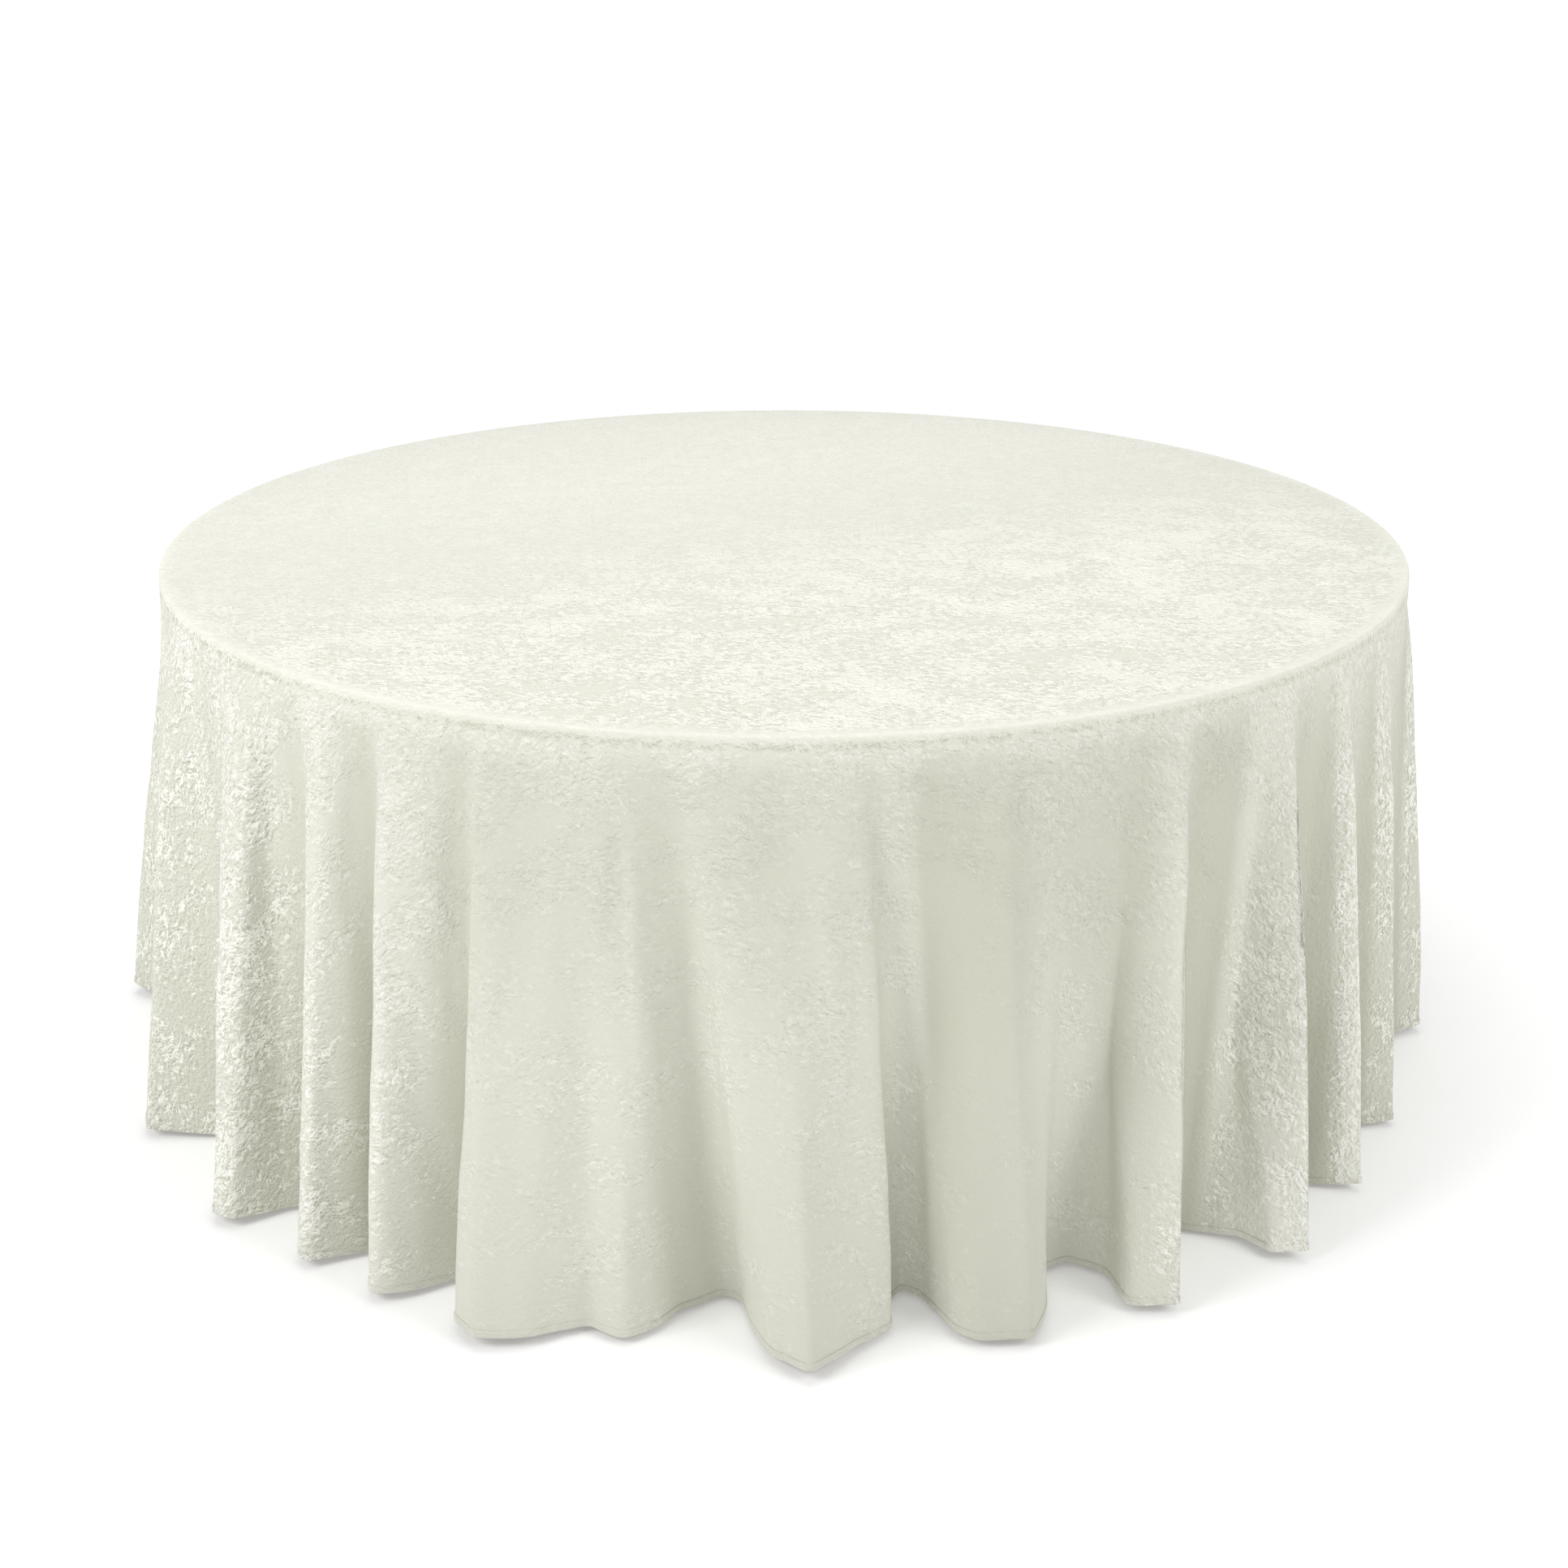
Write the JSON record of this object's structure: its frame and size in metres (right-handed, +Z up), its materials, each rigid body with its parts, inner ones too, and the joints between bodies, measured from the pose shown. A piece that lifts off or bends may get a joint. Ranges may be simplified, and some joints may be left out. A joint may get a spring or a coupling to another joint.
{
  "type": "tablecloth on a table",
  "caption": "Floor-length round crushed-velvet tablecloth in deep folds over a round folding table with hinged, braced leg frames",
  "frame": {"origin": "on the floor under the middle of the table, midway between the four feet", "axes": "+Z up; X across the table from one leg frame to the other; Y along the leg hinges"},
  "size_m": [2.1108, 2.1092, 0.7643],
  "materials": {
    "plywood": "lacquered birch plywood",
    "band": "brown vinyl edge moulding",
    "rail_wood": "planed softwood, sealed",
    "leg_paint": "charcoal powder coat on steel tube",
    "bracket_steel": "charcoal powder coat on pressed plate",
    "link_steel": "zinc-plated strip",
    "fastener_steel": "zinc-plated",
    "foot_plastic": "black moulded rubber",
    "velvet": "ivory crushed velvet",
    "hem_velvet": "ivory crushed velvet, turned and stitched"
  },
  "bodies": {
    "root": {"table_top": "plywood", "edge_band": "band", "runner_near": "rail_wood", "runner_far": "rail_wood", "brace_rail_left": "rail_wood", "brace_rail_right": "rail_wood", "hinge_bracket_left_near": "bracket_steel", "hinge_bracket_left_far": "bracket_steel", "hinge_bracket_right_near": "bracket_steel", "hinge_bracket_right_far": "bracket_steel", "brace_bracket_left": "bracket_steel", "brace_bracket_right": "bracket_steel", "brace_pin_left": "fastener_steel", "brace_pin_right": "fastener_steel", "panel_screws": "fastener_steel", "bracket_screws": "fastener_steel"},
    "leg_frame_left": {"hinge_tube_left": "leg_paint", "leg_left_near": "leg_paint", "leg_left_far": "leg_paint", "brace_bar_left": "leg_paint", "spreader_bar_left": "leg_paint", "foot_cap_left_near": "foot_plastic", "foot_cap_left_far": "foot_plastic", "brace_collars_left": "fastener_steel"},
    "upper_brace_left": {"upper_link_left": "link_steel", "knee_rivet_head_left": "fastener_steel"},
    "lower_brace_left": {"lower_link_left": "link_steel", "knee_rivet_tail_left": "fastener_steel"},
    "leg_frame_right": {"hinge_tube_right": "leg_paint", "leg_right_near": "leg_paint", "leg_right_far": "leg_paint", "brace_bar_right": "leg_paint", "spreader_bar_right": "leg_paint", "foot_cap_right_near": "foot_plastic", "foot_cap_right_far": "foot_plastic", "brace_collars_right": "fastener_steel"},
    "upper_brace_right": {"upper_link_right": "link_steel", "knee_rivet_head_right": "fastener_steel"},
    "lower_brace_right": {"lower_link_right": "link_steel", "knee_rivet_tail_right": "fastener_steel"},
    "cloth": {"tablecloth": "velvet", "hem": "hem_velvet"}
  },
  "joints": [
    {"name": "leg_fold_left", "type": "hinge", "parent": "root", "child": "leg_frame_left", "pos_m": [-0.72, 0, 0.7], "axis": [0, -1, 0], "range_deg": [0, 93]},
    {"name": "upper_brace_turn_left", "type": "hinge", "parent": "root", "child": "upper_brace_left", "pos_m": [-0.42, 0, 0.7], "axis": [0, -1, 0], "range_deg": [0, 142.57]},
    {"name": "lower_brace_turn_left", "type": "hinge", "parent": "leg_frame_left", "child": "lower_brace_left", "pos_m": [-0.73256, 0, 0.46033], "axis": [0, -1, 0], "range_deg": [-130.53, 0]},
    {"name": "leg_fold_right", "type": "hinge", "parent": "root", "child": "leg_frame_right", "pos_m": [0.72, 0, 0.7], "axis": [0, 1, 0], "range_deg": [0, 93]},
    {"name": "upper_brace_turn_right", "type": "hinge", "parent": "root", "child": "upper_brace_right", "pos_m": [0.42, 0, 0.7], "axis": [0, 1, 0], "range_deg": [0, 142.57]},
    {"name": "lower_brace_turn_right", "type": "hinge", "parent": "leg_frame_right", "child": "lower_brace_right", "pos_m": [0.73256, 0, 0.46033], "axis": [0, 1, 0], "range_deg": [-130.53, 0]},
    {"name": "cloth_lift", "type": "slide", "parent": "root", "child": "cloth", "axis": [0, 0, 1], "range_m": [0, 0.8]}
  ],
  "couplings": [
    {"joint": "upper_brace_turn_left", "follows": "leg_fold_left", "ratio": 1.5325},
    {"joint": "lower_brace_turn_left", "follows": "leg_fold_left", "ratio": -1.403},
    {"joint": "upper_brace_turn_right", "follows": "leg_fold_right", "ratio": 1.5325},
    {"joint": "lower_brace_turn_right", "follows": "leg_fold_right", "ratio": -1.403}
  ]
}
